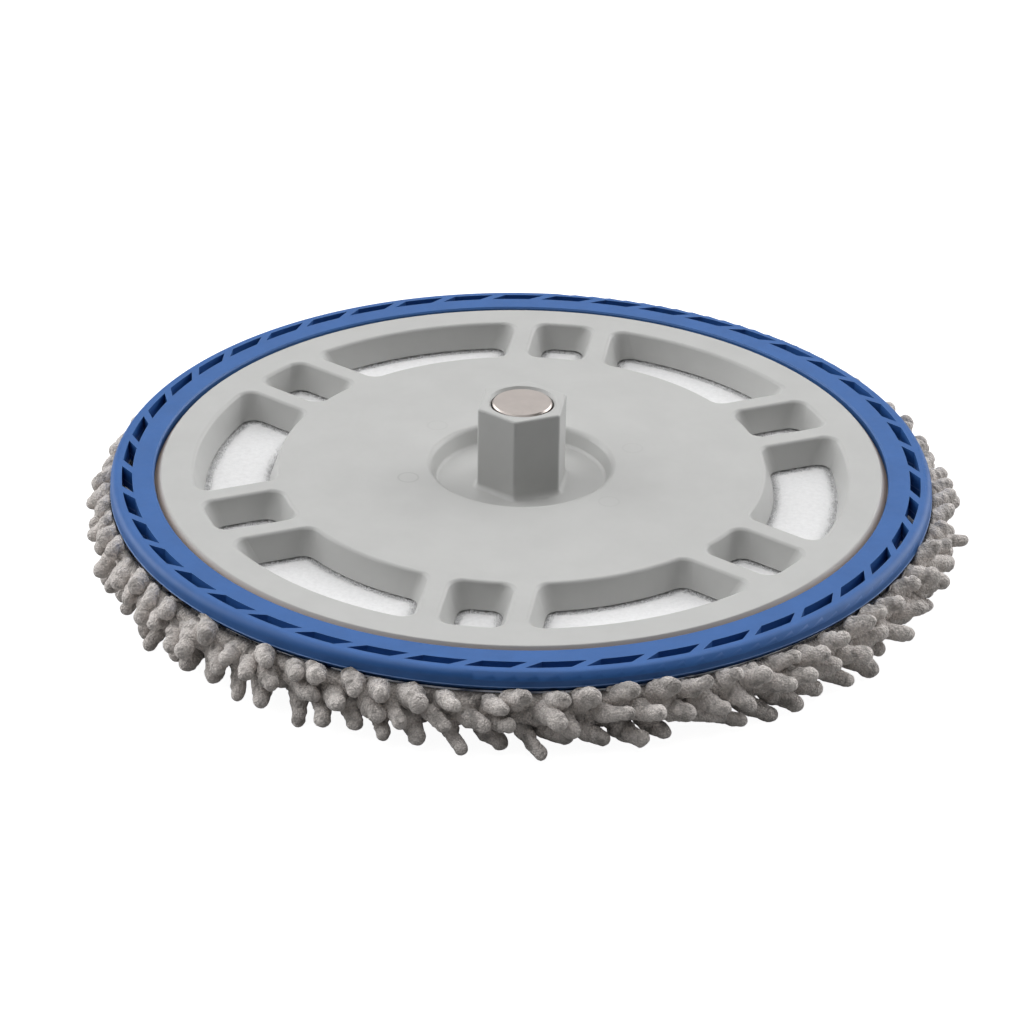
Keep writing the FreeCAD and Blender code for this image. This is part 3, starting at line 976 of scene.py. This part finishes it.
def magnet_finish():
    """Nickel plate: a finely ground face with a warm cast."""
    nickel = (0.47, 0.425, 0.4)
    finish = Finish("magnet_nickel_finish", nickel, 0.3, 1.0)
    stain = finish.ranged(finish.noise(3 * MM, 4), 0, 1, 0.3, 0.7)
    finish.colour(finish.mixed(stain, scaled(nickel, 0.93), scaled(nickel, 1.03)))
    finish.roughness(finish.ranged(finish.noise(0.5 * MM, 4), 0.26, 0.40))
    finish.bump(finish.noise(0.09 * MM, 2), 0.004 * MM, 0.5)
    return finish.done()


def chenille_finish():
    """Warm grey microfibre: short nap in tight bands, with painted shade between the nap's cells, in
    the creases and at the roots.
    """
    grey = (0.9, 0.842, 0.805)
    finish = Finish("chenille_finish", grey, 0.95)
    by_finger = finish.mixed(finish.value("tone"), scaled(grey, 0.9), scaled(grey, 1.07))
    grain = finish.cells(NAP_CELL)
    # Painted shade between the nap's cells, which the bump sinks.
    between = finish.ranged(grain, 0, 0.62, 0.35, 0.9)
    body = finish.mixed(between, by_finger, scaled(grey, 0.45))
    speckle = finish.ranged(finish.noise(0.9 * MM, 3, 0.7), 0, 1, 0.3, 0.55)
    body = finish.mixed(speckle, scaled(grey, 0.74), body)
    puff = finish.math("SINE", finish.math("MULTIPLY", finish.value("band"), 0.5), 0)
    puff = finish.math("POWER", finish.math("ABSOLUTE", puff, 0), 0.6)
    # Painted shade in the creases between the puffs along each finger.
    crease_shade = finish.ranged(puff, 0.25, 0, 0.0, 0.3)
    body = finish.mixed(crease_shade, body, scaled(grey, 0.55))
    # Painted shade in the creases between tufts.
    gap_shade = finish.ranged(finish.value("crease_shade"), 0, 0.7, 0.4, 0.9)
    body = finish.mixed(gap_shade, body, scaled(grey, 0.36))
    # Painted shade at the roots, fading out along each finger's first third.
    root = finish.ranged(finish.value("along"), 0.6, 0, 0.0, 0.3)
    finish.colour(finish.mixed(root, body, scaled(grey, 0.42)))
    finish.bump(puff, 0.2 * MM, 0.6)
    finish.bump(finish.noise(0.75 * MM, 3, 0.6), 0.24 * MM, 0.8)
    finish.bump(grain, -0.3 * MM, 0.9)
    finish.set("Sheen Tint", (0.95, 0.93, 0.9, 1))
    return finish.done(specular=0.15, sheen=0.75, sheen_roughness=0.4)


def bed_finish():
    """The chenille's ground: the same nap on its puffs in a darker grey, which is painted shade,
    with painted shade between its cells, in the creases and in the knit's holes, open knit in the
    hollows, and a near-black rim of painted shade under the ring.
    """
    # Painted shade: a darker grey than the fingers' for the same nap.
    grey = (0.74, 0.685, 0.65)
    finish = Finish("chenille_bed_finish", grey, 0.95)
    grain = finish.cells(NAP_CELL)
    # Painted shade between the nap's cells.
    between = finish.ranged(grain, 0, 0.7, 0.3, 0.85)
    nap = finish.mixed(between, scaled(grey, 1.1), scaled(grey, 0.4))
    # Painted shade in the creases between tufts.
    gap_shade = finish.ranged(finish.value("crease_shade"), 0, 0.85, 0.3, 0.85)
    nap = finish.mixed(gap_shade, nap, scaled(grey, 0.22))
    # Painted shade: the knit's holes are near black.
    mesh = finish.ranged(finish.cells(0.8 * MM), 1, 0, 0.2, 0.36)
    knit = finish.mixed(mesh, scaled(grey, 0.8), (0.03, 0.028, 0.026))
    hollow = finish.ranged(finish.value("puff"), 1, 0, 0.12, 0.38)
    patches = finish.ranged(finish.noise(7 * MM, 2), 0, 1, 0.47, 0.56)
    body = finish.mixed(finish.math("MULTIPLY", hollow, patches), nap, knit)
    # Painted shade: the rim under the ring is near black.
    finish.colour(finish.mixed(finish.value("rim"), body, (0.03, 0.027, 0.025)))
    finish.bump(finish.noise(0.8 * MM, 3, 0.6), 0.28 * MM, 0.85)
    finish.bump(grain, -0.3 * MM, 0.9)
    return finish.done(specular=0.15, sheen=0.3, sheen_roughness=0.5)


def knit_finish():
    """The base cloth: pale grey threads round small holes, painted dark as shade."""
    thread = (0.36, 0.335, 0.31)
    finish = Finish("base_cloth_finish", thread, 0.9)
    hole = finish.cells(1.05 * MM)
    painted_hole_shade = finish.ranged(hole, 1, 0, 0.22, 0.36)
    fibre = finish.ranged(finish.noise(0.25 * MM, 3), 0, 1, 0.3, 0.7)
    body = finish.mixed(fibre, scaled(thread, 0.75), scaled(thread, 1.15))
    # Painted shade: the holes are near black.
    finish.colour(finish.mixed(painted_hole_shade, body, (0.02, 0.018, 0.017)))
    finish.bump(hole, 0.35 * MM, 0.9)
    finish.bump(finish.noise(0.2 * MM, 2), 0.05 * MM, 0.6)
    return finish.done(specular=0.2, sheen=0.2)


def pile_finish():
    """White brushed loops, dim by the windows' walls."""
    white = (0.86, 0.86, 0.865)
    finish = Finish("pile_finish", white, 0.95)
    tuft = finish.ranged(finish.noise(0.9 * MM, 4, 0.65), 0, 1, 0.35, 0.65)
    body = finish.mixed(tuft, scaled(white, 0.95), scaled(white, 1.03))
    strand = finish.ranged(finish.noise(0.3 * MM, 3, 0.7), 0.25, 1, 0.42, 0.56)
    dim = finish.math("MULTIPLY", finish.value("shade"), strand)
    finish.colour(finish.mixed(dim, body, (0.2, 0.2, 0.205)))
    finish.bump(finish.noise(1.3 * MM, 2), 0.06 * MM, 0.4)
    finish.bump(finish.noise(0.25 * MM, 3, 0.7), 0.06 * MM, 0.6)
    return finish.done(specular=0.15, sheen=0.3, sheen_roughness=0.45)


def foam_finish():
    """Cream open-cell foam, with painted shade deep in its pores."""
    cream = (0.78, 0.75, 0.66)
    finish = Finish("foam_finish", cream, 0.9)
    pore = finish.cells(0.7 * MM)
    # Painted shade deep in the pores.
    depth = finish.ranged(pore, 0, 1, 0.1, 0.5)
    finish.colour(finish.mixed(depth, scaled(cream, 0.62), cream))
    finish.bump(pore, 0.3 * MM, 0.8)
    return finish.done(specular=0.2)


def thread_finish():
    """Grey spun polyester thread."""
    grey = (0.5, 0.47, 0.44)
    finish = Finish("edge_thread_finish", grey, 0.75)
    twist = finish.ranged(finish.noise(0.3 * MM, 3), 0, 1, 0.3, 0.7)
    finish.colour(finish.mixed(twist, scaled(grey, 0.8), scaled(grey, 1.1)))
    finish.bump(finish.noise(0.15 * MM, 2), 0.05 * MM, 0.8)
    return finish.done(specular=0.25, sheen=0.25)


def hook_finish():
    """White nylon tape and hooks."""
    white = (0.7, 0.7, 0.68)
    finish = Finish("hook_nylon_finish", white, 0.42)
    weave = finish.ranged(finish.cells(0.6 * MM), 0, 1, 0.1, 0.5)
    finish.colour(finish.mixed(weave, scaled(white, 0.85), white))
    finish.bump(finish.noise(0.3 * MM, 2), 0.05 * MM, 0.6)
    return finish.done()


def floor_finish():
    """Plain pale floor: it shows near white, and lights the object as a mid grey."""
    finish = Finish("floor_finish", (0.38, 0.38, 0.38), 0.8)
    finish.set("Emission Color", (0.95, 0.95, 0.95, 1))
    seen = finish.node("ShaderNodeLightPath").outputs["Is Camera Ray"]
    finish.link(seen, finish.shader.inputs["Emission Strength"])
    return finish.done(specular=0.1)


def dress(made, finish):
    """Gives a piece its material."""
    made.data.materials.clear()
    made.data.materials.append(finish)
    return made


def dress_cad(node, finish):
    """Gives a carried-over CAD node a better material, through its object's slots."""
    made = frame["nodes"][node]
    for entry in made.material_slots:
        entry.link = "OBJECT"
        entry.material = finish
    made.cycles.shadow_terminator_offset = SHADOW_OFFSETS[0]
    made.cycles.shadow_terminator_geometry_offset = SHADOW_OFFSETS[1]


# The camera, floor and lights


def direction(elevation, azimuth):
    """Towards a place this high up and this far round from the front."""
    level = math.cos(elevation)
    return Vector((math.sin(azimuth) * level, -math.cos(azimuth) * level, math.sin(elevation)))


def rotated(first, second, angle):
    """Two vectors at right angles, turned in their plane from the first towards the second."""
    c, s = math.cos(angle), math.sin(angle)
    return first * c + second * s, second * c - first * s


def add_camera():
    """A long lens that looks down at the plate's middle, turned slightly off it."""
    right = Vector((math.cos(CAMERA_AZIMUTH), math.sin(CAMERA_AZIMUTH), 0))
    back = direction(CAMERA_ELEVATION, CAMERA_AZIMUTH)
    up = back.cross(right)
    up, ahead = rotated(up, -back, CAMERA_TILT)
    right, ahead = rotated(right, ahead, CAMERA_PAN)
    up, right = rotated(up, right, CAMERA_ROLL)
    lens = bpy.data.cameras.new("camera")
    lens.lens = CAMERA_LENS
    lens.sensor_width = 36
    lens.clip_start = 0.01
    camera = add_object("camera", lens)
    turn = Matrix((right, up, -ahead)).transposed().to_4x4()
    place = Vector((0, 0, plate_top)) + back * CAMERA_DISTANCE
    camera.matrix_world = Matrix.Translation(place) @ turn
    bpy.context.scene.camera = camera


def add_floor():
    """A plain floor, which isn't part of the object."""
    size = FLOOR_HALF_SIZE
    points = [(-size, -size, 0), (size, -size, 0), (size, size, 0), (-size, size, 0)]
    floor = add_mesh("floor", points, [np.array([[0, 1, 2, 3]])])
    dress(floor, floor_finish())


def add_sun(name, strength, elevation_deg, azimuth_deg, spread_deg):
    """A soft light from this direction."""
    light = bpy.data.lights.new(name, "SUN")
    light.energy = strength
    light.angle = math.radians(spread_deg)
    made = add_object(name, light)
    towards = direction(math.radians(elevation_deg), math.radians(azimuth_deg))
    made.rotation_mode = "QUATERNION"
    made.rotation_quaternion = towards.to_track_quat("Z", "Y")


def add_world():
    """A dim surround for the light, which shows as plain white behind the object."""
    world = bpy.data.worlds.new("studio")
    world.use_nodes = True
    tree = world.node_tree
    lit = tree.nodes["Background"]
    lit.inputs["Color"].default_value = (1, 1, 1, 1)
    lit.inputs["Strength"].default_value = SURROUND_LIGHT
    shown = tree.nodes.new("ShaderNodeBackground")
    shown.inputs["Color"].default_value = (1, 1, 1, 1)
    rays = tree.nodes.new("ShaderNodeLightPath")
    chosen = tree.nodes.new("ShaderNodeMixShader")
    tree.links.new(rays.outputs["Is Camera Ray"], chosen.inputs["Fac"])
    tree.links.new(lit.outputs["Background"], chosen.inputs[1])
    tree.links.new(shown.outputs["Background"], chosen.inputs[2])
    tree.links.new(chosen.outputs["Shader"], tree.nodes["World Output"].inputs["Surface"])
    bpy.context.scene.world = world


# The object


def build_pad():
    """The pad's pieces, which all ride on the pad body."""
    pile = pile_finish()
    thread = thread_finish()
    chenille = chenille_finish()
    tufts = tuft_cells()
    made = (*edge_fingers(tufts), underside_fingers())
    fingers = [dress(each, chenille) for each in made]
    bed = dress(chenille_bed(tufts), bed_finish())
    facing = dress(facing_sheet(), pile)
    fuzz = dress(facing_fuzz(), pile)
    cloth = dress(base_cloth(), knit_finish())
    foam = dress(foam_core(), foam_finish())
    roll = dress(binding_roll(), thread)
    stitches = dress(overlock_thread(), thread)
    for piece in (*fingers, bed, facing, fuzz, cloth, foam, roll, stitches):
        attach(piece, "pad")
    for piece in (*fingers, bed):
        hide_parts("chenille_pile")
    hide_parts("pad_loop_facing")
    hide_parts("pad_base_cloth")
    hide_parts("pad_foam_core")
    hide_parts("pad_edge_binding")


def build_disc():
    """The plate, ring and magnet from the CAD, and the hook tape under the plate."""
    dress_cad("carrier_plate", plate_finish())
    dress_cad("bumper_ring", ring_finish())
    dress_cad("hub_magnet", magnet_finish())
    nylon = hook_finish()
    for node in disc_nodes:
        if not node.startswith("hook_"):
            continue
        tape = dress(hook_tape(node), nylon)
        pins = dress(hooks(node), nylon)
        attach(tape, "disc")
        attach(pins, "disc")
        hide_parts(node)


add_camera()
add_floor()
add_world()
for light in LIGHTS:
    add_sun(*light)
build_pad()
build_disc()
bpy.context.scene.view_settings.view_transform = "Standard"
